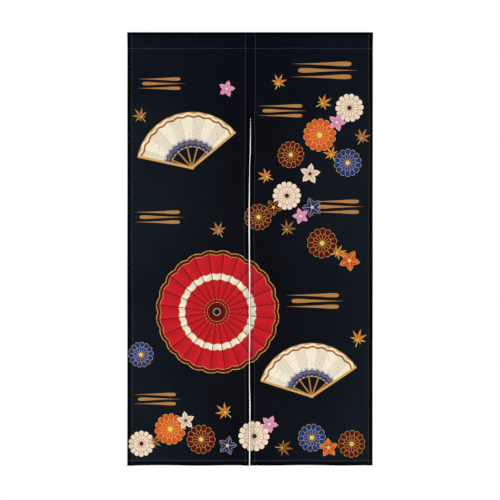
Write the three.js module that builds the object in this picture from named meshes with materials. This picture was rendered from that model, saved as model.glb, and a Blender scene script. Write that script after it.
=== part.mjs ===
// A two-panel door curtain (noren), 850 mm wide and 1500 mm long, hanging from the rod pocket along
// its top. Two printed cloth panels are seamed together over the top 300 mm and part below that as a
// slit. Every free edge is hemmed to the back, and the top of each panel is turned over to the back
// and sewn down as one half of the rod pocket.
// Millimetres, +Z up, +X to the right as seen from the front, which faces -Y. The origin is at the
// crest of the rod pocket, in the middle of the curtain.
import * as THREE from "three";

const WIDTH = 850; // hung width over both panels
const DROP = 1500; // crest of the pocket to the bottom edge
const CLOTH = 1.0; // one layer, with the loft that a hanging sheet has
const HEM = 16; // width of the side and bottom hems
const HEM_LAYERS = 0.9; // what the turned cloth adds behind a hem
const HEM_STEP = 1.0; // run over which a hem's edge thins to one layer
const POCKET_DROP = 55; // crest of the pocket to the line of stitches that closes it
const POCKET_BORE = 14; // widest rod that the pocket takes without stretching
const POCKET_PRESSED = 4; // height over which both layers lie together above the stitches
const TOUCH = 0.3; // gap between pieces that are sewn to each other
const COLUMNS = 18; // steps across a panel between its side hems
const ROWS = 32; // steps down a panel between the pocket and its bottom hem
const POCKET_STEPS = 8; // steps along each half of the pocket
const CURL_REACH = 34; // how far the curl of a slit edge reaches into its panel
const SWAY_LENGTH = 640; // one slow in-and-out sway down the cloth
const SWAY_DEPTH = 1.6;

// Where the inner edges of the panels hang. down is measured from the crest, centre is the middle of
// the seam or slit and gap is its width. The seam ends at the second row.
const SLIT = [
  { down: 0, centre: 1.7, gap: TOUCH },
  { down: 298, centre: 1.7, gap: TOUCH },
  { down: 345, centre: 1.7, gap: 2.6 },
  { down: 430, centre: 0.4, gap: 4.6 },
  { down: 530, centre: -1.8, gap: 3.4 },
  { down: 640, centre: -2.9, gap: 5.4 },
  { down: 760, centre: -2.6, gap: 5.8 },
  { down: 880, centre: -1.4, gap: 4.8 },
  { down: 1040, centre: -1.5, gap: 3.9 },
  { down: 1190, centre: -1.6, gap: 3.2 },
  { down: 1300, centre: -0.3, gap: 5.3 },
  { down: 1500, centre: -0.4, gap: 5.6 },
];

// Soft folds that run down the cloth. at is where a fold meets the bottom edge, lean how far it
// drifts sideways on its way up, spread its half width and depth how far it stands forward there.
const FOLDS = [
  { panel: "left", at: -408, lean: 12, spread: 48, depth: 5.0 },
  { panel: "left", at: -305, lean: 26, spread: 74, depth: -5.5 },
  { panel: "left", at: -178, lean: -18, spread: 78, depth: 6.5 },
  { panel: "left", at: -66, lean: -14, spread: 52, depth: -3.5 },
  { panel: "right", at: 74, lean: 16, spread: 66, depth: 5.0 },
  { panel: "right", at: 196, lean: 24, spread: 82, depth: -6.5 },
  { panel: "right", at: 318, lean: -20, spread: 70, depth: 5.5 },
  { panel: "right", at: 416, lean: -10, spread: 44, depth: -4.5 },
];

const PANELS = [
  { name: "left", outerTop: -WIDTH / 2, outerBottom: -WIDTH / 2 + 0.5, side: -1, curl: 4.5 },
  { name: "right", outerTop: WIDTH / 2, outerBottom: WIDTH / 2 - 2, side: 1, curl: -4 },
];

const cloth = new THREE.MeshStandardMaterial({ color: 0x12151c, roughness: 0.86, metalness: 0 });
const headingCloth = new THREE.MeshStandardMaterial({ color: 0x10131c, roughness: 0.86, metalness: 0 });

function smooth(t) {
  const held = Math.min(Math.max(t, 0), 1);
  return held * held * (3 - 2 * held);
}

// A column of the slit table at a height, eased from row to row.
function slitAt(down, column) {
  const next = Math.max(1, SLIT.findIndex((row) => row.down >= down));
  const [above, below] = [SLIT[next - 1], SLIT[next]];
  const share = smooth((down - above.down) / (below.down - above.down));
  return above[column] + share * (below[column] - above[column]);
}

// The two side edges of a panel at a height: the outer one, then the one at the seam or slit.
function edgesOf(panel, down) {
  const outer = panel.outerTop + (panel.outerBottom - panel.outerTop) * (down / DROP);
  const inner = slitAt(down, "centre") + (panel.side * slitAt(down, "gap")) / 2;
  return { outer, inner };
}

// How far the middle of the cloth stands behind the plane of the rod. Folds grow from nothing at the
// pocket to their full depth at the bottom edge, and an edge of the slit curls once it is free.
function clothPlace(panel, x, down) {
  const hung = (down - POCKET_DROP) / (DROP - POCKET_DROP);
  const grown = smooth(0.12 + 0.88 * hung) - smooth(0.12) * (1 - hung);
  let forward = 0;
  for (const fold of FOLDS.filter((row) => row.panel === panel.name)) {
    const across = (x - fold.at - fold.lean * (1 - hung)) / fold.spread;
    forward += fold.depth * Math.exp(-across * across) * grown;
  }
  const free = smooth((down - SLIT[1].down) / 260);
  const inset = Math.abs(x - edgesOf(panel, down).inner);
  forward += panel.curl * free * Math.exp(-inset / CURL_REACH);
  forward += SWAY_DEPTH * Math.sin((2 * Math.PI * (down - POCKET_DROP)) / SWAY_LENGTH) * smooth(3 * hung);
  return -forward;
}

// A box grid whose every vertex is moved to its place by `place(column, row, back)`.
function draped(columns, rows, place) {
  const grid = new THREE.BoxGeometry(columns, 1, rows, columns, 1, rows);
  const spots = grid.getAttribute("position");
  for (let i = 0; i < spots.count; i += 1) {
    const column = Math.round(spots.getX(i) + columns / 2);
    const row = Math.round(rows / 2 - spots.getZ(i));
    spots.setXYZ(i, ...place(column, row, spots.getY(i) > 0));
  }
  grid.computeVertexNormals();
  return grid;
}

// Stations from 0 to length with a hem's thinning step at each end that has a hem.
function stations(length, steps, hemAtStart, hemAtEnd) {
  const start = hemAtStart ? [0, HEM] : [];
  const end = hemAtEnd ? [length - HEM, length] : [];
  const from = hemAtStart ? HEM + HEM_STEP : 0;
  const to = hemAtEnd ? length - HEM - HEM_STEP : length;
  const middle = Array.from({ length: steps + 1 }, (_, i) => from + ((to - from) * i) / steps);
  return [...start, ...middle, ...end];
}

function panelMesh(panel) {
  const top = POCKET_DROP + TOUCH / 2;
  const half = WIDTH / 2;
  const across = stations(half, COLUMNS, true, true);
  const downwards = stations(DROP - top, ROWS, false, true);
  const place = (column, row, back) => {
    const down = top + downwards[row];
    const { outer, inner } = edgesOf(panel, down);
    const share = across[panel.side < 0 ? column : across.length - 1 - column] / half;
    const x = outer + share * (inner - outer);
    const sideHem = share * half <= HEM || (1 - share) * half <= HEM;
    const bottomHem = downwards[row] >= DROP - top - HEM;
    const layers = CLOTH / 2 + (sideHem || bottomHem ? HEM_LAYERS : 0);
    return [x, clothPlace(panel, x, down) + (back ? layers : -CLOTH / 2), -down];
  };
  const mesh = new THREE.Mesh(draped(across.length - 1, downwards.length - 1, place), cloth);
  mesh.name = `${panel.name}_panel`;
  return mesh;
}

// One side of the pocket's section: a quarter turn over the crest, then a long easy curve down to
// where the two layers are pressed together.
function layerLine(outline, side, radius, closedAt, closedDown) {
  const crown = POCKET_BORE / 2 + CLOTH;
  outline.quadraticCurveTo(side * radius, -crown + radius, side * radius, -crown);
  outline.bezierCurveTo(side * radius, -crown - 14, closedAt, -closedDown + 16, closedAt, -closedDown);
}

function pocketMesh(panel) {
  const crown = POCKET_BORE / 2 + CLOTH;
  const sewn = POCKET_DROP - TOUCH / 2;
  const front = -CLOTH / 2;
  const behind = CLOTH / 2 + HEM_LAYERS;
  const pressed = sewn - POCKET_PRESSED;
  const section = new THREE.Shape();
  section.moveTo(0, 0);
  layerLine(section, -1, crown, front, pressed);
  section.lineTo(front, -sewn);
  section.lineTo(behind, -sewn);
  section.lineTo(behind, -pressed);
  section.bezierCurveTo(behind, -pressed + 16, crown, -crown - 14, crown, -crown);
  section.quadraticCurveTo(crown, 0, 0, 0);
  const bore = new THREE.Path();
  bore.moveTo(0, -CLOTH);
  layerLine(bore, -1, POCKET_BORE / 2, CLOTH / 2, pressed - 1);
  bore.bezierCurveTo(CLOTH / 2, -pressed + 17, POCKET_BORE / 2, -crown - 14, POCKET_BORE / 2, -crown);
  bore.quadraticCurveTo(POCKET_BORE / 2, -CLOTH, 0, -CLOTH);
  section.holes.push(bore);

  const { outer, inner } = edgesOf(panel, 0);
  const depth = Math.abs(inner - outer);
  const sleeve = new THREE.ExtrudeGeometry(section, {
    depth,
    steps: POCKET_STEPS,
    curveSegments: 6,
    bevelEnabled: false,
  });
  sleeve.applyMatrix4(
    new THREE.Matrix4().makeBasis(
      new THREE.Vector3(0, 1, 0),
      new THREE.Vector3(0, 0, 1),
      new THREE.Vector3(1, 0, 0),
    ),
  );
  const mesh = new THREE.Mesh(sleeve, headingCloth);
  mesh.position.x = Math.min(outer, inner);
  mesh.name = `${panel.name}_pocket`;
  return mesh;
}

const curtain = new THREE.Group();
for (const panel of PANELS) {
  curtain.add(panelMesh(panel), pocketMesh(panel));
}

export default curtain;
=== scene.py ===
# %% [markdown]
# # A split door curtain
# The object is a noren: two long panels of printed cloth, joined along the top of their inner edges
# and open below, that hang in a doorway from a rod through a pocket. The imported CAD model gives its
# true size and the shape in which it hangs. This lesson dresses that model: each panel is sewn as one
# folded sheet, dyed, stitched, and lit as a shop would light it. Loading comes first, because every
# later size is read from the model or fits into it.

# %% Load the frame
import math
from bisect import bisect_left
from functools import partial
from types import SimpleNamespace

import bmesh
import bpy
from mathutils import Matrix, Vector, noise


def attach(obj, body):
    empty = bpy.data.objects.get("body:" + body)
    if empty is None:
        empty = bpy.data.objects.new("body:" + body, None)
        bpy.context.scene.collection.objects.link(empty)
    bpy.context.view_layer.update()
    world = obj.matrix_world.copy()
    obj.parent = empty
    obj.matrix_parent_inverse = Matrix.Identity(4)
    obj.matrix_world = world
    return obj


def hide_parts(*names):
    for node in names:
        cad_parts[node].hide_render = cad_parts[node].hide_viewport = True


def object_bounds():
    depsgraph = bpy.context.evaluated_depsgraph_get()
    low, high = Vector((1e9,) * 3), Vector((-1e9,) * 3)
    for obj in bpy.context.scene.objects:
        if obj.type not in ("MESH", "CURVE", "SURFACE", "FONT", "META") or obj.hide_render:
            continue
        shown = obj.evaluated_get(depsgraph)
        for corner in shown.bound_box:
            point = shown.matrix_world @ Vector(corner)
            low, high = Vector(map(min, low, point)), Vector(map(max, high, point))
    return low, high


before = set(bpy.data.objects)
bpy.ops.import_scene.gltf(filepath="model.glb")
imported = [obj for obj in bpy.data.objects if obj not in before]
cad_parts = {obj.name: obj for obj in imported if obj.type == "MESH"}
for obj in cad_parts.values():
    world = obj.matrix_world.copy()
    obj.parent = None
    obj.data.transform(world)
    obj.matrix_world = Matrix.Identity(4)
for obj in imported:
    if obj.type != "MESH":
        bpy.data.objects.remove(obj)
cad_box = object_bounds()
MM = 0.001
WIDTH = round(cad_box[1].x - cad_box[0].x, 4)
DROP = -cad_box[0].z
print("curtain", WIDTH, "m wide and", round(DROP, 3), "m long, nodes", sorted(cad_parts))

# %% [markdown]
# ## How the cloth hangs
# A hanging cloth is nearly flat, yet never quite: slow folds run down it and grow towards the free
# hem, and the inner edges drift and curl where nothing holds them. A cloth simulation could find such
# a shape, but not the one in the photograph, so the folds stay a short table, the CAD model's own. The
# slit has more rows here, because a sheet this thin can follow its small changes of width.

# %% Tables of the slit and the folds
SEAM_END = 298 * MM
POCKET_DROP = 56 * MM

# down from the crest, middle of the slit, width of the slit, all in mm
SLIT = [
    (0, 1.5, 0.0), (296, 1.5, 0.0), (300, 1.4, 1.3), (318, 1.3, 1.8), (345, 1.2, 2.9), (400, 0.7, 3.8),
    (475, -1.8, 2.6), (545, -2.6, 4.0), (615, -3.2, 5.1), (685, -3.2, 5.8), (755, -2.7, 4.7),
    (855, -1.6, 5.8), (925, -2.4, 4.6), (1060, -1.8, 5.1), (1140, -2.6, 2.5), (1205, -2.3, 3.5),
    (1305, -0.8, 5.4), (1375, -0.8, 4.5), (1455, -1.7, 5.0), (1500, -2.1, 4.6),
]

# side, place at the bottom edge, lean on the way up, half width, depth towards the viewer, all in mm
FOLDS = [
    (-1, -408, 12, 48, 5.0),
    (-1, -305, 26, 74, -5.5),
    (-1, -178, -18, 78, 6.5),
    (-1, -66, -14, 52, -3.5),
    (1, 74, 16, 66, 5.0),
    (1, 196, 24, 82, -6.5),
    (1, 318, -20, 70, 5.5),
    (1, 416, -10, 44, -4.5),
]

# side: name, outer edge at the bottom in mm, curl of the free inner edge in mm
PANELS = {-1: ("left", -425.0, 4.5), 1: ("right", 424.0, -4.0)}
print(len(SLIT), "rows for the slit,", len(FOLDS), "folds")

# %% [markdown]
# The tables hold a few heights only. Values between rows are eased, because straight steps would put a
# corner in the cloth at every row. A fold is a bell curve across its panel that flattens out towards
# the pocket, where the rod holds the cloth straight.

# %% Read the tables
TOUCH = 0.1 * MM  # each seamed edge presses this far into the other
SLIT_SHARE = 0.7  # a thin bright gap looks wider in a render than it is, so less of it is left open
FOLD_START = 0.12  # share of its growth that a fold has behind it at the pocket, where it is held flat
CURL_REACH = 34 * MM
CURL_GROWTH = 260 * MM  # down from the seam, until the curl is whole
SWAY_LENGTH = 640 * MM
SWAY_DEPTH = 1.6 * MM


def smooth(t):
    """Ease from 0 to 1."""
    held = min(max(t, 0.0), 1.0)
    return held * held * (3 - 2 * held)


def eased(table, down):
    """The values of a table in mm at a height, eased from row to row, in metres."""
    row = min(max(bisect_left([r[0] * MM for r in table], down), 1), len(table) - 1)
    above, below = table[row - 1], table[row]
    share = smooth((down / MM - above[0]) / (below[0] - above[0]))
    return [(a + share * (b - a)) * MM for a, b in zip(above[1:], below[1:])]


def edges_at(side, down):
    """Where the outer and the inner edge of a panel hang."""
    outer_bottom = PANELS[side][1] * MM
    outer = side * WIDTH / 2 + (outer_bottom - side * WIDTH / 2) * down / DROP
    middle, gap = eased(SLIT, down)
    return outer, middle + side * (gap * SLIT_SHARE / 2 - TOUCH)


def forward_at(side, x, down):
    """How far the cloth stands towards the viewer, in front of the plane of the rod."""
    hung = max(down - POCKET_DROP, 0) / (DROP - POCKET_DROP)
    grown = smooth(FOLD_START + (1 - FOLD_START) * hung) - smooth(FOLD_START) * (1 - hung)
    forward = 0.0
    for fold_side, place, lean, spread, depth in FOLDS:
        if fold_side == side:
            across = (x / MM - place - lean * (1 - hung)) / spread
            forward += depth * MM * math.exp(-across * across) * grown
    free = smooth((down - SEAM_END) / CURL_GROWTH)
    inset = abs(x - edges_at(side, down)[1])
    forward += PANELS[side][2] * MM * free * math.exp(-inset / CURL_REACH)
    sway = math.sin(math.tau * (down - POCKET_DROP) / SWAY_LENGTH)
    return forward + SWAY_DEPTH * sway * smooth(3 * hung)


for down in (0.2, 0.7, 1.4):
    print("slit", down, "m down, middle and width in mm:", [round(v / MM, 2) for v in eased(SLIT, down)])

# %% [markdown]
# ## One folded sheet
# A maker cuts a panel with an allowance on all four edges, turns each edge to the back and sews it
# down, with a deep turn at the top that becomes the rod pocket. Extruding four separate hems would
# leave joints that cloth doesn't have, so the panel is modelled as that one sheet. A flat grid comes
# first, in the coordinates of the cut cloth, close along the folds and stitches and wide between. Each
# of its points is then folded into place.

# %% Rows and columns of the cut cloth
PANEL = WIDTH / 2
LAYER = 0.8 * MM  # from the middle of one layer to the middle of the next, where they are pressed
THICKNESS = 0.36 * MM
HEM = 19.5 * MM  # turned to the back, at the sides and at the bottom
SEWN = 17 * MM  # from the bottom fold to its line of stitches
CROWN = 7.5 * MM  # radius of the pocket's crest
CREST_STEPS = 6
ARC = CROWN * math.pi / 2
CREST_SPARE = ARC - CROWN  # cloth that the crest takes up beyond its height
LINE_RUN = POCKET_DROP + CREST_SPARE  # cloth from the crest to the pocket's stitches
TAIL = 2.5 * MM  # from those stitches to the raw edge, behind the pocket
SNUG = 1.2 * MM  # from those stitches to the next row, behind the pocket
FOLD_BULK = 1.2 * MM  # what the bottom fold adds to the drop by its own thickness
LOWEST = DROP + CREST_SPARE - FOLD_BULK
CELL = 6 * MM
POCKET_CELL = 5 * MM

# places of rows and columns in mm: inside a folded edge, past it on the hem, and beside the pocket's stitches
NEAR_EDGE = [0, 3, 6, 9, 11.2, 12.4, 13.4, 14.4, 15.4, 16.4, 17.4, 18.4, 20, 22.5, 26, 30, 35]
PAST_EDGE = [0.42, 0.84, 1.26, 1.9, 2.7, 3.8, 7, 11, 13, 14.5, 16, 17.5, 19.5]
NEAR_LINE = [-4, -2.2, -0.9, 0, 0.9, 2.2, 4, 7, 11, 16, 22]


def stations(start, end, step):
    """Even places from start to end, both left out, about a step apart."""
    count = max(round((end - start) / step), 1)
    return [start + (end - start) * i / count for i in range(1, count)]


near = [d * MM for d in NEAR_EDGE]
past = [d * MM for d in PAST_EDGE]
inside = near + stations(near[-1], PANEL - near[-1], CELL) + [PANEL - d for d in reversed(near)]
ACROSS = [-d for d in reversed(past)] + inside + [PANEL + d for d in past]

behind = [-LINE_RUN - TAIL, -LINE_RUN - SNUG, -LINE_RUN, -LINE_RUN + SNUG]
back = behind + [-d for d in reversed(stations(ARC, LINE_RUN - SNUG, POCKET_CELL))]
crest = [ARC * i / CREST_STEPS for i in range(-CREST_STEPS, CREST_STEPS + 1)]
beside = [LINE_RUN + d * MM for d in NEAR_LINE]
front = stations(ARC, beside[0], POCKET_CELL) + beside
plain = stations(front[-1], LOWEST - near[-1], CELL)
DOWN = back + crest + front + plain + [LOWEST - d for d in reversed(near)] + [LOWEST + d for d in past]
FLAT = (ACROSS[-1] - ACROSS[0], DOWN[-1] - DOWN[0])
print("cut", [round(v, 3) for v in FLAT], "m, grid", len(ACROSS), "by", len(DOWN))

# %% [markdown]
# ### Fold one direction at a time
# Across a panel, whatever runs past an edge goes round a half turn and comes back behind the cloth. At
# the bottom the same happens again, around the side hems that are already sewn, so the corners are
# four layers deep, as on the real thing. At the top the cloth goes over the crest of the pocket, which
# stands a little open, and down the back to the stitches.

# %% Turn an edge, open the pocket
PRESSED = 4 * MM  # above the pocket's stitches, where its layers lie together


def turned(run, length, spacing):
    """Place along a strip whose ends are folded back, and the share of the half turn that is done."""
    past = max(-run, run - length, 0.0)
    bend = math.pi * spacing / 2
    angle = min(past / bend, 1.0) * math.pi
    reach = math.sin(angle) * spacing / 2 - max(past - bend, 0.0)
    along = -reach if run < 0 else length + reach if run > length else run
    return along, (1 - math.cos(angle)) / 2


def pocket_open(run):
    """How far each layer of the pocket stands off the middle plane, and the height, at a cloth run."""
    if run < ARC:
        return CROWN * math.sin(run / CROWN), -CROWN * (1 - math.cos(run / CROWN))
    closed = POCKET_DROP - CROWN - PRESSED
    return CROWN * (1 - smooth((run - ARC) / closed)), -CROWN - (run - ARC)


print("a hem's turn takes", round(math.pi * LAYER / 2 / MM, 2), "mm of cloth")

# %% [markdown]
# ### What the sewing does
# A thread is tighter than the cloth, so each line of stitches lies in a shallow dip, with small
# gathers beside it. The upright lines follow a table of where they run. The level ones wander by a
# smooth noise, which is the same on every run. The pocket is sewn through three layers and stiff, so
# its gathers fall below the line.

# %% Lines of stitches, and the relief beside them
# down from the crest, then the four upright lines of stitches from left to right, as x in mm
LINES = [
    (0, -410.5, -15.6, 18.4, 410.0),
    (180, -410.5, -15.8, 18.2, 410.0),
    (289, -410.5, -16.1, 15.6, 412.6),
    (407, -409.8, -16.2, 16.8, 412.7),
    (511, -410.5, -19.2, 15.1, 412.6),
    (678, -410.5, -19.6, 12.2, 409.8),
    (796, -410.3, -19.6, 14.0, 409.6),
    (893, -408.4, -19.0, 15.1, 409.6),
    (1032, -407.4, -16.1, 15.1, 409.7),
    (1177, -409.3, -17.6, 15.0, 409.6),
    (1275, -409.8, -16.1, 14.6, 409.5),
    (1500, -407.8, -16.1, 15.1, 409.6),
]
LINE_REACH = 1.1 * MM  # from the middle of a line of stitches to where it fades
DIP = 0.24 * MM
WANDER, WANDER_LENGTH = 1.3 * MM, 110 * MM
BILLOW, BILLOW_WIDTH, BILLOW_HEIGHT = 0.9 * MM, 85 * MM, 160 * MM
BILLOW_START, BILLOW_GROWTH = 60 * MM, 100 * MM
# depth of the gathers, how far they reach from their line, and the length of one, all in mm
GATHERS = {"side": (0.42, 9, 15), "pocket": (0.95, 24, 21), "hem": (0.5, 12, 17)}
POCKET_HOLD = 6  # times less far do the gathers reach into the pocket than below it


def stitched(distance):
    """1 on a line of stitches, fading to 0 beside it."""
    return math.exp(-((distance / LINE_REACH) ** 2))


def gather(kind, distance, along, seed):
    """Small gathers that stitches pull up beside their line."""
    depth, reach, size = (v * MM for v in GATHERS[kind])
    fade = math.exp(-((distance / reach) ** 2))
    return depth * fade * noise.noise(Vector((along / size, seed, 0.5)))


def sewn_inset(side, near_slit, down):
    """From a panel's edge to its upright line of stitches, at a height."""
    line = (1 if near_slit else 0) if side < 0 else (2 if near_slit else 3)
    return abs(eased(LINES, down)[line] - edges_at(side, down)[near_slit])


def level_wander(x, seed):
    """A level line of stitches is never quite straight."""
    return WANDER * noise.noise(Vector((x / WANDER_LENGTH, seed, 0.0)))


def off_lines(side, near_slit, inset, x, down):
    """How far a place is from the upright, the pocket's and the bottom line of stitches."""
    beside = abs(inset - sewn_inset(side, near_slit, down))
    top = abs(down - POCKET_DROP - level_wander(x, 1))
    return beside, top, abs(DROP - down - SEWN - level_wander(x, 2))


def relief(side, near_slit, inset, x, down, way):
    """What dips, gathers and slow billows add to a point's depth. A dip goes the way given, 1 or -1."""
    lines = off_lines(side, near_slit, inset, x, down)
    under = down - POCKET_DROP
    depth = way * DIP * max(stitched(distance) for distance in lines)
    depth += gather("side", lines[0], down, 3 + side + near_slit)
    depth += gather("pocket", max(under, -POCKET_HOLD * under), x, 11)
    depth += gather("hem", lines[2], x, 17)
    billow = noise.noise(Vector((x / BILLOW_WIDTH, down / BILLOW_HEIGHT, 4.0)))
    return depth + BILLOW * billow * smooth((down - BILLOW_START) / BILLOW_GROWTH)


print("a seam wanders by up to", round(WANDER / MM, 1), "mm")

# %% [markdown]
# ### Every point in its place
# One function now takes a point of the cut cloth through all the folds, in the order in which a maker
# sews them: the side hems, the bottom hem, the pocket. Then it hangs the point between the panel's
# edges, and adds the slow folds and the relief of the sewing.

# %% Fold and hang a point
HEM_FADE = 9 * MM  # from a side hem's raw edge inwards, until the bottom hem lies on one layer
TIGHTEST = 0.2 * MM  # least spacing of the bottom fold
PRESS = 24 * MM  # from the crest down, until the pocket's back lies on its front


def folded(side, across, run):
    """The place of a point of the cut cloth once the panel is sewn and hung."""
    along, side_turn = turned(across, PANEL, LAYER)
    side_depth = LAYER * side_turn
    inset = min(along, PANEL - along)
    over_hem = 1 - smooth((inset - HEM) / HEM_FADE)
    full = LAYER * (1 + 2 * over_hem)
    low, bottom_turn = turned(max(run, 0), LOWEST, max(full - 2 * side_depth, TIGHTEST))
    depth = side_depth + bottom_turn * (full - 2 * side_depth)
    stand, height = pocket_open(abs(run) if run < ARC else min(low, LOWEST))
    if run > ARC:
        height = -(low - CREST_SPARE)
    lean = min(abs(run) / ARC, 1) * math.pi / 2
    down = min(max(-height, 0.0), DROP)
    outer, inner = edges_at(side, down)
    x = outer + (along + LAYER / 2) / (PANEL + LAYER) * (inner - outer)
    if run >= 0:
        y = -stand + depth * math.sin(lean)
    else:
        pressed = smooth((abs(run) - ARC) / PRESS)
        y = stand + (full * pressed - side_depth) * math.sin(lean)
    way = 1 if run >= 0 and depth < LAYER / 2 else -1
    y += relief(side, along > PANEL / 2, inset, x, down, way) - forward_at(side, x, down)
    return Vector((x, y, height - side_depth * math.cos(lean)))


print("corner", [round(v / MM, 1) for v in folded(-1, 5 * MM, DROP)], "mm")

# %% [markdown]
# ## The print
# The curtain is dyed with a red paper umbrella, two folding fans, drifting mist, and chrysanthemums,
# bellflowers and maple leaves on a dark ground. An image would be the usual way to bring in a print,
# but it blurs when the camera comes close, so each motif is a formula. The tables say where a motif
# lies on the flat cloth, in three layers: large ones, flowers, and flowers over those. Every face
# under a motif is told its coordinates within it, and the shader draws it there with crisp edges.

# %% Place the motifs
LINE = 1.25  # mm, the drawn lines

# kind: its number for the shader, and how many petals, lobes, ribs or bars it has
KINDS = {
    "mum": (1, 14), "bell": (2, 5), "maple": (3, 8), "umbrella": (4, 24), "fan": (5, 13), "mist": (6, 3),
}

# ink of a flower's petals: inks of its drawn lines and of its heart
TINTS = {
    "maroon": ("gold", "yellow"),
    "orange": ("yellow", "yellow"),
    "indigo": ("gold", "yellow"),
    "cream": ("maroon", "maroon"),
    "pink": ("rose", "cream"),
    "rust": ("gold", "yellow"),
}

# kind, x from the middle, down from the crest, size, turn in degrees, and a flower's or leaf's tint
LARGE = """
umbrella -112 968 214 7
fan -200 470 194 -14
fan 214 1262 186 -8
mist 258 132 118 0
mist -308 178 84 0
mist 110 272 88 0
mist 302 604 96 0
mist -312 640 90 0
mist 226 930 104 0
mist -322 1270 84 0
"""
FLOWERS = """
maple 96 176 34 24 orange
bell -82 196 30 14 pink
maple -378 292 33 -40 rust
mum 344 262 50 10 cream
maple 250 246 35 62 orange
mum 240 356 57 4 orange
maple 386 366 36 28 rust
mum 338 452 48 0 indigo
mum 140 424 46 9 maroon
bell 208 490 38 8 cream
maple 58 500 34 -64 orange
mum 128 566 50 12 cream
bell 216 606 36 -20 indigo
mum 30 640 45 6 maroon
maple 128 682 36 40 maroon
mum 250 730 52 3 maroon
bell 344 790 38 30 orange
maple -104 688 35 -28 rust
maple 374 1064 38 16 orange
mum -378 1116 44 7 indigo
mum -276 1374 54 5 orange
mum -376 1424 46 0 cream
mum -168 1408 50 13 maroon
maple -84 1316 38 -50 orange
bell -76 1431 34 14 indigo
mum 14 1398 53 15 cream
maple 112 1438 37 96 maroon
mum 214 1404 48 9 indigo
mum 352 1424 47 2 maroon
"""
UPPER_FLOWERS = """
bell 300 312 33 20 pink
maple 282 424 34 -30 orange
bell 176 636 30 -18 pink
bell 82 606 30 33 maroon
maple 302 764 34 75 orange
bell -222 1344 34 -8 cream
maple -334 1418 32 75 maroon
bell 66 1356 32 26 pink
bell 272 1438 34 -5 orange
"""
# the layers, from the ground up, and in each the words of its motifs
MOTIFS = [[row.split() for row in table.split("\n")[1:-1]] for table in (LARGE, FLOWERS, UPPER_FLOWERS)]
print([len(rows) for rows in MOTIFS], "motifs")

# %% [markdown]
# A face is under a motif if its middle is, or nearly is: the margin makes sure that none is missed
# which the motif only touches. It is small, because a face can hold one motif of a layer only.

# %% Tell each face its motifs
MARGIN = 0.75 * CELL / MM


def within(place, x, down):
    """Coordinates within a motif of size 1, y up."""
    place_x, place_down, size, turn = place
    angle = math.radians(turn)
    right, up = (x - place_x) / size, (place_down - down) / size
    return (
        right * math.cos(angle) - up * math.sin(angle),
        right * math.sin(angle) + up * math.cos(angle),
    )


def covers(kind, x, y, margin):
    """Whether a motif of size 1 may reach a place, or come within a margin of it."""
    if kind == "mist":
        return abs(x) < 1 + margin and abs(y) < 0.28 + margin
    if kind == "fan" and abs(x) > 2.2 * y + 3 * margin:
        return False
    return math.hypot(x, y) < 1 + margin


def print_motifs(bm, flat):
    """Tell each face under a motif which one it is, and each of its corners where in it that lies."""
    shared = 0
    middles = [[sum(flat[vert][i] for vert in face.verts) / 4 for i in (0, 1)] for face in bm.faces]
    for layer, rows in enumerate(MOTIFS):
        spot = bm.loops.layers.float_vector.new(f"spot_{layer}")
        what = bm.faces.layers.float_vector.new(f"what_{layer}")
        for kind, *words in rows:
            number, points = KINDS[kind]
            place = [float(word) for word in words[:4]]
            tint = list(TINTS).index(*words[4:]) if words[4:] else 0
            size = place[2]
            for face, middle in zip(bm.faces, middles):
                if not covers(kind, *within(place, *middle), MARGIN / size):
                    continue
                shared += face[what][0] > 0
                face[what] = (number, tint, points)
                for loop in face.loops:
                    loop[spot] = (*within(place, *flat[loop.vert]), LINE / size)
    return shared


print("margin", MARGIN, "mm")

# %% [markdown]
# ## What each point knows
# The shader also needs a point's place on the flat cloth, the painted shade of its folded layers,
# and the painted highlight beside its lines of stitches. These are stored on the mesh as attributes,
# which follow the cloth through every fold, as Object coordinates would not.

# %% Painted fold shade and seam highlight at a point
BAND_END = 0.35  # painted shade of a hem at its stitches, where its fold has 1
BAND_CURVE = 1.2
SEAM_PRESSED = 30 * MM  # above the slit, where its hems come to lie flat against each other
# painted shade of the pocket: a little all down it, darkest on its crest and fading below that
POCKET_BAND = 0.1
CREST_BAND, CREST_FADE = 7 * MM, 9 * MM
SEAM_HIGHLIGHT_SHARES = (0.5, 0.6, 1.0)  # painted highlight beside the upright, the pocket's and the bottom stitches, strongest at the bottom


def band(distance, sewn, strength=1.0, curve=1.0):
    """Painted shade of a hem, from its fold to its stitches."""
    shade = BAND_END + (1 - BAND_END) * strength * (1 - (distance / sewn) ** curve)
    return shade * (1 - smooth((distance - sewn) / MM))


def painted_fold_shade_at(side, across, run):
    """Painted shade of the folded cloth: most at folded edges and the crest, least on one layer."""
    near_slit = across > PANEL / 2
    down = max(abs(run) - CREST_SPARE, 0)
    hung = 1 - smooth((SEAM_END - down) / SEAM_PRESSED) if near_slit else 1
    inset = abs(min(across, PANEL - across))
    upright = band(inset, sewn_inset(side, near_slit, down), hung, BAND_CURVE)
    level = band(abs(LOWEST - run), SEWN)
    pocket = POCKET_BAND + (1 - POCKET_BAND) * (1 - smooth((down - CREST_BAND) / CREST_FADE))
    return max(upright, level, pocket * (down < POCKET_DROP))


def seam_highlight_at(side, across, run):
    """Painted highlight where the cloth puckers beside the stitches: where, and how much."""
    inset = min(across, PANEL - across)
    lines = off_lines(side, across > PANEL / 2, inset, side * (PANEL - across), run - CREST_SPARE)
    return max(share * stitched(distance) for share, distance in zip(SEAM_HIGHLIGHT_SHARES, lines))


print("a hem, from its fold in:", [round(painted_fold_shade_at(-1, i * MM, DROP / 2), 2) for i in (0, 8, 24)])

# %% [markdown]
# A UV map lays both sides of the cloth out in strips, for whoever wants the print as a texture. An
# unwrap operator would start from the folded shape, but the cut cloth's own coordinates make a map
# without any stretch.

# %% Lay the cloth out
UV_GAP = 12 * MM
SLIVER = 2 * MM  # drawn width of the cloth's raw edge
STRIPS = 3


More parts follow.
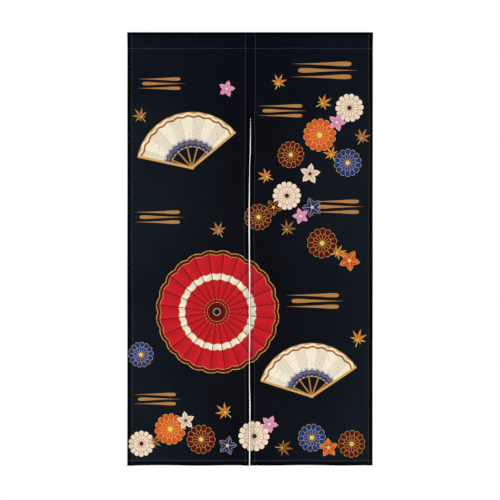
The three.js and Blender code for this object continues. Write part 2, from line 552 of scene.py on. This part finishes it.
def lay_out(bm, side, reverse_faces, rim_faces):
    """A UV map of three strips for each side of the cloth, with the raw edges as slivers beside them."""
    uv = bm.loops.layers.uv.new("OFBake")
    cut = bm.verts.layers.float_vector["cut"]
    reverse_verts = {vert for face in reverse_faces for vert in face.verts}
    strip = FLAT[1] / STRIPS
    whole = STRIPS * (FLAT[0] + UV_GAP)
    for face in bm.faces:
        behind = face in reverse_faces
        places = []
        for loop in face.loops:
            x, down, _ = loop.vert[cut]
            places.append((PANEL - side * x * MM, down * MM + CREST_SPARE))
        mean = sum(run for _, run in places) / len(places) - DOWN[0]
        third = min(int(mean / strip), STRIPS - 1)
        for loop, (across, run) in zip(face.loops, places):
            if face in rim_faces and loop.vert in reverse_verts:
                across += SLIVER * ((across > ACROSS[-2]) - (across < ACROSS[1]))
                run += SLIVER * ((run > DOWN[-2]) - (run < DOWN[1]))
            u = third * (FLAT[0] + UV_GAP) + across - ACROSS[0] + UV_GAP / 2
            v = run - DOWN[0] - third * strip + (strip + UV_GAP) * behind + UV_GAP / 2
            loop[uv].uv = (u / whole, v / whole)


print("the map spans", round(STRIPS * (FLAT[0] + UV_GAP), 3), "m of cloth")

# %% [markdown]
# ## Sew the panels
# The sheet gets its thickness from the solidify operator last, once every point is in place, and the
# new inner faces become the unprinted side. The real curtain's panels are cut alike and sewn as mirror
# images, so one function makes both. Mirroring a finished panel would copy its folds and print too.

# %% Both panels


def finished(name, bm):
    """Turn a bmesh into an object of the scene."""
    mesh = bpy.data.meshes.new(name)
    bm.to_mesh(mesh)
    bm.free()
    piece = bpy.data.objects.new(name, mesh)
    bpy.context.collection.objects.link(piece)
    print(name, len(mesh.polygons), "faces")
    return piece


def sewn_panel(side):
    """One panel as a folded sheet with a printed and an unprinted side."""
    across = ACROSS if side < 0 else ACROSS[::-1]
    bm = bmesh.new()
    bmesh.ops.create_grid(bm, x_segments=len(ACROSS) - 1, y_segments=len(DOWN) - 1, size=0.5)
    cut = bm.verts.layers.float_vector.new("cut")
    painted_fold_shade = bm.verts.layers.float.new("painted_fold_shade")
    seam = bm.verts.layers.float.new("seam")
    flat = {}
    for vert in bm.verts:
        place = across[round((vert.co.x + 0.5) * (len(ACROSS) - 1))]
        run = DOWN[round((0.5 - vert.co.y) * (len(DOWN) - 1))]
        flat[vert] = (side * (PANEL - place) / MM, (run - CREST_SPARE) / MM)
        vert[cut] = (*flat[vert], 0)
        vert[painted_fold_shade] = painted_fold_shade_at(side, place, run)
        vert[seam] = seam_highlight_at(side, place, run)
        vert.co = folded(side, place, run)
    print(print_motifs(bm, flat), "faces claimed by two motifs of one layer")
    bm.normal_update()
    printed = bm.faces[:]
    made = bmesh.ops.solidify(bm, geom=printed, thickness=THICKNESS)
    reverse_faces = {item for item in made["geom"] if isinstance(item, bmesh.types.BMFace)}
    rim_faces = set(bm.faces) - set(printed) - reverse_faces
    lay_out(bm, side, reverse_faces, rim_faces)
    for face in bm.faces:
        face.smooth = face not in rim_faces
        face.material_index = 1 if face in reverse_faces else 0
    return finished(f"{PANELS[side][0]}_cloth", bm)


cloths = {side: sewn_panel(side) for side in PANELS}

# %% [markdown]
# ## Inks
# Dyes that are printed with heat are flat and matte. Each one is named as a dyer would name it and
# written as an sRGB value, which one function turns into the linear light that Blender mixes. One
# more function adds a node, with its settings and links, and builds every material below.

# %% Colours and the node helper
INK = {
    "ground": "#0E0F16",
    # the next two are the ground under painted light: towards the sides, and at the top
    "side ground, painted light": "#141B22",
    "top ground, painted light": "#131628",
    "red": "#C8202A",
    "deep red": "#A8151D",
    "maroon": "#5A1512",
    "rust": "#9A5A38",
    "orange": "#D2582C",
    "indigo": "#123C78",
    "navy": "#0B2450",
    "cream": "#F2DCC2",
    "pink": "#E6A0BE",
    "rose": "#C46E92",
    "ivory": "#F6EBD4",
    "slate": "#B9C4CE",
    "gold": "#D9A85A",
    "yellow": "#ECCB58",
    "bronze": "#B4804A",
    "thread": "#4A505C",
    "floor paint": "#E7E7E7",
}


def linear(name):
    """A named ink as linear red, green, blue and alpha."""
    code = INK[name].lstrip("#")
    shares = [int(code[i : i + 2], 16) / 255 for i in (0, 2, 4)]
    curved = [s / 12.92 if s <= 0.04045 else ((s + 0.055) / 1.055) ** 2.4 for s in shares]
    return (*curved, 1.0)


def add(tree, kind, *values, named=None, stops=(), points=(), **settings):
    """Add a node, make its settings, and set or link its inputs, in order or by name."""
    kind, _, deed = kind.partition(" ")
    made = tree.nodes.new(kind if kind.startswith("Node") else "ShaderNode" + kind)
    if deed:
        setattr(made, "data_type" if kind == "Mix" else "operation", deed)
    for name, value in settings.items():
        setattr(made, name, value)
    ready = [socket for socket in made.inputs if socket.enabled]
    wanted = list(zip(ready, values)) + [(made.inputs[k], v) for k, v in (named or {}).items()]
    for socket, value in wanted:
        if isinstance(value, bpy.types.Node):
            value = next(output for output in value.outputs if output.enabled)
        if isinstance(value, bpy.types.NodeSocket):
            tree.links.new(value, socket)
        else:
            socket.default_value = value
    if stops:
        made.color_ramp.interpolation = "CONSTANT"
        ramp = made.color_ramp.elements
        ramp[1].position = stops[-1][0]
        for position, _ in stops[1:-1]:
            ramp.new(position)
        for stop, (_, ink) in zip(ramp, stops):
            stop.color = linear(ink)
    if points:
        curve = made.mapping.curves[0].points
        for spot in points[1:-1]:
            curve.new(*spot)
        for point, spot in zip(curve, points):
            point.location = spot
        made.mapping.update()
    return made


# kinds of node, most with the operation that they do or the type of what they mix
TIMES = "Math MULTIPLY"
TIMES_PLUS = "Math MULTIPLY_ADD"
DIVIDE = "Math DIVIDE"
MINUS = "Math SUBTRACT"
UNDER = "Math LESS_THAN"
ABOVE = "Math GREATER_THAN"
NEAR = "Math COMPARE"
EITHER = "Math MAXIMUM"
ABSOLUTE = "Math ABSOLUTE"
FRACT = "Math FRACT"
SCALE = "VectorMath SCALE"
MIX = "Mix FLOAT"
BLEND = "Mix RGBA"
SPLIT = "SeparateXYZ"
RAMP = "ValToRGB"
CURVE = "FloatCurve"
REMAP = "MapRange"
print(len(INK), "inks, ground", [round(c, 4) for c in linear("ground")])

# %% [markdown]
# A motif that repeats round its middle is drawn in polar coordinates. The angle is counted in petals
# and folded, to run from 0 on a petal's axis to 1 in the notch beside it, so one short curve for half
# a petal draws the whole flower. The ribs of fans and umbrellas come from the same sums.

# %% Polar coordinates of a motif


def motif_group(name):
    """Start a group that takes a motif's coordinates and kind, and gives its colour and its cover."""
    tree = bpy.data.node_groups.new(name, "ShaderNodeTree")
    for label, way, kind in (
        ("Spot", "INPUT", "NodeSocketVector"),
        ("What", "INPUT", "NodeSocketVector"),
        ("Colour", "OUTPUT", "NodeSocketColor"),
        ("Cover", "OUTPUT", "NodeSocketFloat"),
    ):
        tree.interface.new_socket(name=label, in_out=way, socket_type=kind)
    put = partial(add, tree)
    given = put("NodeGroupInput")
    at = SimpleNamespace(tree=tree)
    at.x, at.y, at.line = put(SPLIT, given.outputs["Spot"]).outputs
    at.kind, at.tint, at.points = put(SPLIT, given.outputs["What"]).outputs
    at.flat = put("VectorMath MULTIPLY", given.outputs["Spot"], (1, 1, 0))
    at.radius = put("VectorMath LENGTH", at.flat)
    at.turns = put(DIVIDE, put("Math ARCTAN2", at.x, at.y), math.tau)
    at.aside = put(ABSOLUTE, at.turns)
    at.steps = put(TIMES, at.turns, at.points)
    at.across = put(TIMES, put("Math PINGPONG", at.steps, 0.5), 2.0)
    width = put(DIVIDE, math.pi, put(EITHER, at.points, 1.0))
    reach = put(TIMES, at.radius, width)
    at.beside = put(TIMES, at.across, reach)
    at.between = put(MINUS, reach, at.beside)
    return put, at


def is_kind(put, at, name):
    """1 where the motif is of this kind, otherwise 0."""
    return put(NEAR, at.kind, KINDS[name][0], 0.4)


def close_group(put, at, colour, cover):
    """Give a group its outputs, with nothing covered where no motif is."""
    put("NodeGroupOutput", colour, put(TIMES, cover, put(ABOVE, at.kind, 0.5)))
    print(at.tree.name, "has", len(at.tree.nodes), "nodes")
    return at.tree


print("a motif's lines are", LINE, "mm wide")

# %% [markdown]
# ### Flowers and leaves
# The chrysanthemum has a ring of rounded petals and a smaller ring set between them. The bellflower
# has five pointed petals. The maple leaf is a flower whose petals shrink from the top round to the
# stalk, so one more curve gives their lengths. Curves are quicker to draw and to correct than sums of
# sines.

# %% Outlines of petals and lobes
MUM_PETAL = [(0, 1), (0.45, 0.985), (0.8, 0.92), (1, 0.8)]
BELL_PETAL = [(0, 1), (0.1, 0.92), (0.45, 0.76), (0.8, 0.6), (1, 0.5)]
MAPLE_LOBE = [(0, 1), (0.12, 0.85), (0.32, 0.68), (0.6, 0.5), (1, 0.36)]
MAPLE_LENGTHS = [(0, 1), (0.25, 0.93), (0.5, 0.76), (0.75, 0.5), (1, 0.1)]


def flower_edge(put, at, bell, maple):
    """Radius of a flower's or a leaf's edge, at each angle."""
    mum_edge, bell_edge, lobe_edge = (
        put(CURVE, 1.0, at.across, points=shape) for shape in (MUM_PETAL, BELL_PETAL, MAPLE_LOBE)
    )
    length = put(CURVE, 1.0, put(TIMES, at.aside, 2.0), points=MAPLE_LENGTHS)
    edge = put(MIX, bell, mum_edge, bell_edge)
    return put(MIX, maple, edge, put(TIMES, lobe_edge, length))


print("a mum's notches are", MUM_PETAL[-1][1], "of its radius")

# %% [markdown]
# The dyer draws the outline, the edge of the inner ring, and a line between or down the petals. Each
# compares a distance with the width of a line, so a line keeps its width in mm at every size.

# %% Drawn lines of a flower
RING = 0.6  # radius of a chrysanthemum's inner ring of petals
VEIN_END = 0.8  # how far out the veins of bellflowers and leaves go


def flower_lines(put, at, edge, mum):
    """Where a flower's lines are drawn, and where the inner ring of petals lies."""
    outline = put(UNDER, put(MINUS, edge, at.radius), at.line)
    ring_petal = put(CURVE, 1.0, put(MINUS, 1.0, at.across), points=MUM_PETAL)
    ring_edge = put(TIMES, ring_petal, RING)
    in_ring = put(UNDER, at.radius, ring_edge)
    half_line = put(TIMES, at.line, 0.5)
    ring_line = put(TIMES, put(NEAR, at.radius, ring_edge, half_line), mum)
    vein_off = put(MIX, mum, at.beside, put(MIX, in_ring, at.between, at.beside))
    vein_reach = put(TIMES, edge, put(MIX, mum, VEIN_END, 1.0))
    vein = put(TIMES, put(UNDER, vein_off, half_line), put(UNDER, at.radius, vein_reach))
    return put(EITHER, put(EITHER, outline, ring_line), vein), in_ring


print("inner ring at", RING, "of the radius")

# %% [markdown]
# Petals are a little deeper in colour towards the heart, as a dyer's brush leaves them, and the inner
# ring is lighter. The inks of petals, lines and hearts come from three ramps that all read the tint.

# %% Flower group
HEART = 0.15
STALK = 0.7  # from a leaf's middle to the end of its stalk
BLOOM = (0.72, 1.08)  # light of a petal near the heart, and at its tip
RING_LIGHT = 0.2  # that the inner ring has more


def flower_group():
    put, at = motif_group("Dyed flowers and leaves")
    mum, bell, maple = (is_kind(put, at, name) for name in ("mum", "bell", "maple"))
    edge = flower_edge(put, at, bell, maple)
    drawn, in_ring = flower_lines(put, at, edge, mum)
    share = put(DIVIDE, put("Math ADD", at.tint, 0.5), len(TINTS))
    body, ink, middle = (
        put(RAMP, share, stops=[(i / len(TINTS), name) for i, name in enumerate(inks)])
        for inks in zip(*((petal, *inks) for petal, inks in TINTS.items()))
    )
    bloom = put(REMAP, at.radius, 0.1, 1.0, *BLOOM)
    light = put(TIMES_PLUS, put(TIMES, in_ring, mum), RING_LIGHT, bloom)
    petal = put(SCALE, body, light)
    heart = put(UNDER, at.radius, put(MIX, maple, HEART, 0.0))
    stalk = put(TIMES, put(NEAR, at.x, 0.0, at.line), put(NEAR, at.y, -STALK / 2, STALK / 2))
    stalk = put(TIMES, stalk, maple)
    colour = put(BLEND, drawn, petal, ink)
    colour = put(BLEND, heart, colour, middle)
    colour = put(BLEND, stalk, colour, ink)
    return close_group(put, at, colour, put(EITHER, put(UNDER, at.radius, edge), stalk))


flowers = flower_group()

# %% [markdown]
# ### Umbrella
# A paper umbrella seen from above is a disc of gores between ribs. The paper sags between the ribs, so
# the rim is scalloped, and each gore is lighter on one side. One colour ramp along the radius paints
# all its rings, which separate discs could do only with many more nodes.

# %% Umbrella
SAG = 0.03
CAP = 0.062
GORE_LIGHT = (1.08, 0.8)  # at the two ribs of a gore
# place along the radius, ink from there outwards
RINGS = [
    (0.0, "navy"), (0.05, "gold"), (CAP, "maroon"), (0.15, "gold"), (0.158, "deep red"), (0.2, "gold"),
    (0.206, "red"), (0.52, "gold"), (0.528, "ivory"), (0.62, "gold"), (0.628, "red"), (0.93, "gold"),
    (0.938, "maroon"), (0.985, "gold"), (1.0, "gold"),
]


def umbrella(put, at):
    rim = put(TIMES_PLUS, put(TIMES, at.across, at.across), -SAG, 1.0)
    paper = put(RAMP, put(DIVIDE, at.radius, rim), stops=RINGS)
    paper = put(SCALE, paper, put(REMAP, put(FRACT, at.steps), 0.0, 1.0, *GORE_LIGHT))
    rib = put(TIMES, put(UNDER, at.beside, at.line), put(ABOVE, at.radius, CAP))
    return put(BLEND, rib, paper, linear("maroon")), put(UNDER, at.radius, rim)


print(len(RINGS) - 1, "painted rings")

# %% [markdown]
# ### Fans
# A folding fan is a slice of such a disc, from its pivot: pleated paper between two guard sticks, with
# the bare sticks and a rivet below. Every second half pleat lies in shade. A cellular pattern, thinned
# by its random colour, scatters the gold flecks.

# %% Fan
FAN_HALF = 64 / 360  # of a full turn, from a fan's middle to its guard sticks
FAN_INNER = 0.37
WAVES = 190.0  # phase in a full turn, in radians
WAVE = 0.012
STICK, GUARD, RIVET = 0.0135, 0.0032, 0.035
FLECKS, FLECK, FLECK_SHARE = 22.0, 0.17, 0.45  # to a motif's size, size in its cell, share of cells
FLECK_ZONE = (0.72, 0.14)  # along the radius: its middle, and half its width
PLEAT_SHADE = -0.13
CREASE = 0.3  # of a drawn line
# place along the radius, ink from there outwards
BANDS = [
    (0.0, "bronze"), (FAN_INNER, "gold"), (FAN_INNER + 0.014, "indigo"), (0.43, "gold"),
    (0.436, "indigo"), (0.455, "gold"), (0.461, "indigo"), (0.49, "gold"), (0.498, "slate"),
    (0.53, "ivory"), (0.9, "gold"), (0.908, "rust"), (0.93, "gold"), (0.938, "ivory"), (0.975, "gold"),
    (1.0, "bronze"),
]


def fan_leaf(put, at):
    """The painted paper of a fan, with its waves, flecks and pleats."""
    wave = put("Math SINE", put(TIMES, at.turns, WAVES))
    waved = put(TIMES_PLUS, wave, WAVE, at.radius)
    leaf = put(RAMP, waved, stops=BANDS)
    cells = put("TexVoronoi", at.flat, named={"Scale": FLECKS}, distance="CHEBYCHEV")
    fleck = put(UNDER, cells.outputs["Distance"], FLECK)
    fleck = put(TIMES, fleck, put(NEAR, at.radius, *FLECK_ZONE))
    fleck = put(TIMES, fleck, put(UNDER, put(SPLIT, cells.outputs["Color"]), FLECK_SHARE))
    leaf = put(BLEND, fleck, leaf, linear("gold"))
    shaded = put(ABOVE, put(FRACT, at.steps), 0.5)
    leaf = put(SCALE, leaf, put(TIMES_PLUS, shaded, PLEAT_SHADE, 1.0))
    crease = put(UNDER, at.beside, put(TIMES, at.line, CREASE))
    return put(BLEND, crease, leaf, linear("bronze"))


def fan(put, at):
    in_slice = put(UNDER, at.aside, FAN_HALF)
    in_rim = put(UNDER, at.radius, 1.0)
    paper = put(TIMES, put(ABOVE, at.radius, FAN_INNER), in_rim)
    stick = put(TIMES, put(UNDER, at.beside, STICK), put(UNDER, at.radius, FAN_INNER))
    cover = put(TIMES, put(EITHER, paper, stick), in_slice)
    past_slice = put(TIMES, put(MINUS, at.aside, FAN_HALF), at.radius)
    guard = put(TIMES, put(NEAR, past_slice, 0.0, GUARD), in_rim)
    wood = put(EITHER, guard, put(UNDER, at.radius, RIVET))
    colour = put(BLEND, wood, fan_leaf(put, at), linear("gold"))
    return colour, put(EITHER, cover, wood)


print("a fan opens to", round(720 * FAN_HALF), "degrees")

# %% [markdown]
# ### Mist
# Mist is drawn the old way, as stacked bars with one round and one long thin end. Folding the height
# into rows draws all the bars of a bank with one curve, and every second row is turned end for end.

# %% Mist, and the large motif group
ROW_PITCH = 0.19
BAR_HALF = 0.1
BAR = [(0, 0), (0.004, 0.3), (0.03, 0.55), (0.08, 0.66), (0.4, 0.4), (0.75, 0.13), (1, 0)]


def mist(put, at):
    """Where the bars of mist lie."""
    row = put("Math ROUND", put(DIVIDE, at.y, ROW_PITCH))
    off_row = put(ABSOLUTE, put(MINUS, at.y, put(TIMES, row, ROW_PITCH)))
    middle = put(NEAR, row, 0.0, 0.5)
    along = put(TIMES, at.x, put(TIMES_PLUS, middle, 2.0, -1.0))
    along = put(TIMES_PLUS, along, 0.56, 0.44)
    half = put(TIMES, put(CURVE, 1.0, along, points=BAR), BAR_HALF)
    return put(TIMES, put(UNDER, off_row, half), put(NEAR, row, 0.0, KINDS["mist"][1] / 2))


def large_group():
    put, at = motif_group("Dyed umbrella, fans and mist")
    is_fan, is_mist = (is_kind(put, at, name) for name in ("fan", "mist"))
    colour, cover = umbrella(put, at)
    fan_colour, fan_cover = fan(put, at)
    colour = put(BLEND, is_fan, colour, fan_colour)
    colour = put(BLEND, is_mist, colour, linear("bronze"))
    cover = put(MIX, is_fan, cover, fan_cover)
    return close_group(put, at, colour, put(MIX, is_mist, cover, mist(put, at)))


larges = large_group()

# %% [markdown]
# ## The cloth
# The cloth is a plain-woven polyester that is printed with heat: matte, a little fuzzy, with a faint
# sheen at grazing angles. Dyed this dark, one layer still lets some light through, so a hem, with a
# second layer behind it, looks nearly black. That shade is painted into the colour, darkest at the
# folded edges and on the pocket's crest: it takes the ground nearly to black and the inks a little
# deeper. The ground's dye is a little uneven at random, and it carries painted light as well: it is
# darker and more neutral by the slit, paler and bluer towards the sides, bluer and darker at the top,
# and lighter or darker down its length.

# %% Ground
# painted light and shade down the cloth: share of the way down, how pale the ground is there
GROUND_LIGHT_DOWN = [
    (0, 0.7), (0.1, 0.72), (0.2, 0.86), (0.35, 1), (0.48, 1), (0.6, 0.8), (0.72, 0.85), (0.85, 0.95),
    (1, 1),
]
BLOTCH = (0.86, 1.16)  # least and most light of the uneven dye


def new_material(name):
    """An empty material, and add with its node tree already given."""
    material = bpy.data.materials.new(name)
    material.use_nodes = True
    material.node_tree.nodes.clear()
    return material, partial(add, material.node_tree)


def ground(put, cut):
    """Colour of the unprinted ground, with painted light, from a place on the cut cloth in mm."""
    x, down, _ = put(SPLIT, cut).outputs
    # painted light: paler and bluer towards the sides, bluer at the top
    outward = put(REMAP, put(ABSOLUTE, x), 60.0, 410.0, 0.0, 1.0)
    colour = put(BLEND, outward, linear("ground"), linear("side ground, painted light"))
    high = put(REMAP, down, 0.0, 380.0, 0.5, 0.0)
    colour = put(BLEND, high, colour, linear("top ground, painted light"))
    # painted light and shade down the length of the cloth, then the dye's own random blotches
    fallen = put(REMAP, down, 0.0, DROP / MM, 0.0, 1.0)
    blotch = put("TexNoise", cut, named={"Scale": 0.006, "Detail": 3.0})
    for light in (put(CURVE, 1.0, fallen, points=GROUND_LIGHT_DOWN), put(REMAP, blotch, 0.3, 0.7, *BLOTCH)):
        colour = put(SCALE, colour, light)
    return colour


print(len(GROUND_LIGHT_DOWN), "levels of painted light on the way down")

# %% [markdown]
# The real threads are about 0.3 mm apart, far too fine for the render, so they are drawn 1.3 mm apart.
# Thick places in the yarn, called slubs, run along the warp as faint streaks. Both could be a bump
# alone, but a slub takes more dye, so it tints the colour too. The unprinted side is the same cloth,
# with the print showing through it paler.

# %% Cloth material
THREAD_PITCH = 1.3  # mm, as drawn
GROUND_SHADE, PRINT_SHADE = -0.95, -0.3  # painted shade: what the folded layers take off the ground and the inks
SEAM_HIGHLIGHT = 0.031  # painted highlight: how far a line of stitches goes towards undyed polyester
SHOWN_THROUGH = 0.04  # how much paler the print is on the reverse side
SLUB = (0.9, 1.1)  # least and most light of a slub


def weave(put, cut):
    """Height of the threads, and the tint of the slubs."""
    threads = put(SCALE, cut, math.tau / THREAD_PITCH)
    weft, warp, _ = put(SPLIT, put("VectorMath SINE", threads)).outputs
    crossing = put(TIMES, put(TIMES, weft, warp), 0.5)
    streaks = put("Mapping", cut, named={"Scale": (0.9, 0.05, 1.0)})
    slub = put("TexNoise", streaks, named={"Scale": 1.0, "Detail": 4.0})
    return put(TIMES_PLUS, slub, 0.6, crossing), put(REMAP, slub, 0.3, 0.7, *SLUB)


def cloth_material(name, bleached):
    material, put = new_material(name)
    stored = partial(put, "Attribute")
    cut = stored(attribute_name="cut").outputs["Vector"]
    painted_fold_shade = stored(attribute_name="painted_fold_shade").outputs["Fac"]
    seam = stored(attribute_name="seam").outputs["Fac"]
    # painted shade where the cloth is folded: deep on the ground, slight on the inks
    ground_shade = put(TIMES_PLUS, painted_fold_shade, GROUND_SHADE, 1.0)
    print_shade = put(TIMES_PLUS, painted_fold_shade, PRINT_SHADE, 1.0)
    colour = put(SCALE, ground(put, cut), ground_shade)
    for layer, group in enumerate((larges, flowers, flowers)):
        spot = stored(attribute_name=f"spot_{layer}").outputs["Vector"]
        what = stored(attribute_name=f"what_{layer}").outputs["Vector"]
        motif = put("Group", node_tree=group, named={"Spot": spot, "What": what})
        ink = put(SCALE, motif.outputs["Colour"], print_shade)
        colour = put(BLEND, motif.outputs["Cover"], colour, ink)
    height, slub_tint = weave(put, cut)
    colour = put(SCALE, colour, slub_tint)
    # painted highlight along the lines of stitches, where the cloth puckers
    colour = put(BLEND, put(TIMES, seam, SEAM_HIGHLIGHT), colour, linear("slate"))
    colour = put(BLEND, bleached, colour, linear("slate"))
    bump = {"Strength": 0.35, "Distance": 0.12 * MM, "Height": height}
    # spun polyester scatters light every way: rough, hardly a highlight, and a thin sheen of fuzz
    finish = {
        "Base Color": colour,
        "Roughness": 0.82,
        "Specular IOR Level": 0.02,
        "Sheen Weight": 0.02,
        "Sheen Roughness": 0.4,
        "Normal": put("Bump", named=bump),
    }
    put("OutputMaterial", put("BsdfPrincipled", named=finish))
    print(name, len(material.node_tree.nodes), "nodes")
    return material


printed = cloth_material("Printed polyester, dyed side", 0.0)
unprinted = cloth_material("Printed polyester, reverse side", SHOWN_THROUGH)
for cloth in cloths.values():
    cloth.data.materials.append(printed)
    cloth.data.materials.append(unprinted)

# %% [markdown]
# ## Stitches
# A machine sews every line with one spun thread above and one below, a stitch each 3 mm. A stitch is a
# spindle, half sunk where it enters the cloth. One is modelled, an Array modifier repeats it, and a
# Curve modifier bends the row along the seam, as the machine does.

# %% One stitch, and a row of them
PITCH = 3.1 * MM
STITCH_HALF = 0.44 * PITCH
THREAD = 0.34 * MM  # drawn radius; a spun thread is about 0.25 mm thick, too fine to show


def spindle():
    bm = bmesh.new()
    lying = Matrix.Diagonal((STITCH_HALF, THREAD, THREAD, 1)) @ Matrix.Rotation(math.pi / 2, 4, "Y")
    bmesh.ops.create_uvsphere(bm, u_segments=6, v_segments=5, radius=1.0, matrix=lying)
    bmesh.ops.recalc_face_normals(bm, faces=bm.faces)
    for face in bm.faces:
        face.smooth = True
    mesh = bpy.data.meshes.new("stitch")
    bm.to_mesh(mesh)
    bm.free()
    return mesh


def sewn_row(stitch, path):
    """A row of stitches along a path, as a mesh."""
    curve = bpy.data.curves.new("seam", "CURVE")
    curve.dimensions = "3D"
    spline = curve.splines.new("POLY")
    spline.points.add(len(path) - 1)
    for point, place in zip(spline.points, path):
        point.co = (*place, 1)
    track = bpy.data.objects.new("seam", curve)
    row = bpy.data.objects.new("row", stitch)
    for thing in (track, row):
        bpy.context.collection.objects.link(thing)
    array = row.modifiers.new("Array", "ARRAY")
    array.use_relative_offset = False
    array.use_constant_offset = True
    array.constant_offset_displace = (PITCH, 0, 0)
    array.count = int(sum((b - a).length for a, b in zip(path, path[1:])) / PITCH)
    bend = row.modifiers.new("Curve", "CURVE")
    bend.object = track
    bend.deform_axis = "POS_X"
    depsgraph = bpy.context.evaluated_depsgraph_get()
    made = bpy.data.meshes.new_from_object(row.evaluated_get(depsgraph))
    for thing in (track, row):
        bpy.data.objects.remove(thing)
    return made


stitch = spindle()
print("a stitch has", len(stitch.polygons), "faces")

# %% [markdown]
# The seams need no table of their own: the function that folds the cloth gives the place of every
# point on a line of stitches, on the front, and on the layer behind. The rows of a panel are joined
# into one mesh, because they are one thread.

# %% Sew every line
LIFT = Vector((0, THREAD * 0.35, 0))  # so a stitch is sunk into the cloth by most of its radius
PAST_FOLD = math.pi * LAYER / 2  # cloth that a hem's turn takes
CLEAR = 2 * MM  # left unsewn at each end of a line


def sewn_lines(side):
    """The lines of a panel, as pairs of places on the cut cloth: in front, and on the layer behind."""
    down = [run for run in DOWN if ARC < run <= LOWEST - CLEAR]
    outer, inner = ([sewn_inset(side, slit, run - CREST_SPARE) for run in down] for slit in (False, True))
    yield [((i, run), (-PAST_FOLD - i, run)) for i, run in zip(outer, down)]
    yield [((PANEL - i, run), (PANEL + PAST_FOLD + i, run)) for i, run in zip(inner, down)]
    level = [place for place in ACROSS if CLEAR < place < PANEL - CLEAR]
    top, low = ([level_wander(side * (PANEL - place), seed) for place in level] for seed in (1, 2))
    yield [((place, LINE_RUN + w), (place, -LINE_RUN - w)) for place, w in zip(level, top)]
    hem = LOWEST + PAST_FOLD + SEWN
    yield [((place, LOWEST - SEWN - w), (place, hem + w)) for place, w in zip(level, low)]


def stitches(side):
    """Every row of stitches of one panel, in one mesh."""
    bm = bmesh.new()
    for pairs in sewn_lines(side):
        for places, lift in zip(zip(*pairs), (-LIFT, LIFT)):
            path = [folded(side, *place) + lift for place in places]
            bm.from_mesh(sewn_row(stitch, path))
    return finished(f"{PANELS[side][0]}_stitches", bm)


seams = {side: stitches(side) for side in PANELS}

# %% [markdown]
# Spun thread is dyed in the yarn, a little paler than the cloth it is sewn into, which is why its
# lines can be seen at all. It could share the cloth's material, but a thread has no weave.

# %% Thread material
thread, put = new_material("Spun polyester thread, charcoal")
# twisted fibres give the eye a soft, broken highlight, and stray ones a thin sheen
finish = {"Base Color": linear("thread"), "Roughness": 0.6, "Sheen Weight": 0.2}
put("OutputMaterial", put("BsdfPrincipled", named=finish))
for seam in seams.values():
    seam.data.materials.append(thread)
print(thread.name, len(thread.node_tree.nodes), "nodes")

# %% [markdown]
# ## Hand the pieces over
# Each sheet stands for its panel and its half of the pocket in the CAD model. The sizes of the cut
# cloth go with it, in its cut attribute.

# %% Tell the frame what each piece is
for side, (name, _, _) in PANELS.items():
    cloth, sewing = cloths[side], seams[side]
    for piece in (cloth, sewing):
        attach(piece, "root")
    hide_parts(f"{name}_panel", f"{name}_pocket")
    print(cloth.name, "stands for the", name, "panel and half pocket")

# %% [markdown]
# ## Light and camera
# The photograph is a shop picture on pure white: soft light from both sides in front, very little from
# above, and a camera straight ahead at the height of the curtain's middle. The world is white to the
# camera only, and dimmer as a light, or the dark cloth would look washed out.

# %% World and floor
ROOM_LIGHT = 0.2
FLOOR_HALF = 1.3
FLOOR_BELOW = 0.4  # under the curtain, which hangs

world = bpy.data.worlds.new("White room")
bpy.context.scene.world = world
world.use_nodes = True
world.node_tree.nodes.clear()
put = partial(add, world.node_tree)
seen = put("LightPath").outputs["Is Camera Ray"]
strength = put(REMAP, seen, 0.0, 1.0, ROOM_LIGHT, 1.0)
put("OutputWorld", put("Background", (1, 1, 1, 1), strength))

bm = bmesh.new()
below = Matrix.Translation((0, 0, -DROP - FLOOR_BELOW))
bmesh.ops.create_grid(bm, x_segments=1, y_segments=1, size=FLOOR_HALF, matrix=below)
floor = finished("floor", bm)
paint, put = new_material("Matte white studio floor")
# wall paint is chalky: it has no highlight, and shows only a soft shadow
finish = {"Base Color": linear("floor paint"), "Roughness": 0.9}
put("OutputMaterial", put("BsdfPrincipled", named=finish))
floor.data.materials.append(paint)

# %% [markdown]
# Three large square lamps stand in for softboxes. The left one is a little stronger, as in the
# photograph, and the one behind lights the reverse side for views from there.

# %% Lights
MIDDLE_Z = -0.7538  # height that the camera and the lamps aim at
SOFTBOX = 1.6
for name, place, watts in (
    ("left softbox", (-2.2, -3.2, -0.6), 74),
    ("right softbox", (2.2, -3.2, -0.6), 66),
    ("back softbox", (0.6, 3.6, -0.5), 90),
):
    lamp = bpy.data.lights.new(name, "AREA")
    lamp.size = SOFTBOX
    lamp.energy = watts
    light = bpy.data.objects.new(name, lamp)
    light.location = place
    aim = Vector((0, 0, MIDDLE_Z)) - Vector(place)
    light.rotation_euler = aim.to_track_quat("-Z", "Y").to_euler()
    bpy.context.collection.objects.link(light)
    print(name, watts, "W at", round(aim.length, 2), "m")

# %% [markdown]
# The photograph shows the curtain from straight in front, with no lines that run together, so it was
# taken from far away. The lens is worked out from the distance and the height that the picture spans
# there, which is simpler than trying lenses until the frame fits.

# %% Camera
FRAME_HEIGHT = 1.7305  # of the photograph, at the curtain's distance
DISTANCE = 5.0
SENSOR = 36  # mm
ASIDE = -0.5 * MM  # of the camera from the curtain's middle
camera_data = bpy.data.cameras.new("camera")
camera_data.sensor_width = SENSOR
camera_data.lens = SENSOR * DISTANCE / FRAME_HEIGHT
camera = bpy.data.objects.new("camera", camera_data)
camera.location = (ASIDE, -DISTANCE, MIDDLE_Z)
camera.rotation_euler = (math.pi / 2, 0, 0)
bpy.context.collection.objects.link(camera)
bpy.context.scene.camera = camera
bpy.context.scene.view_settings.view_transform = "Standard"
print("lens", round(camera_data.lens, 1), "mm at", DISTANCE, "m")
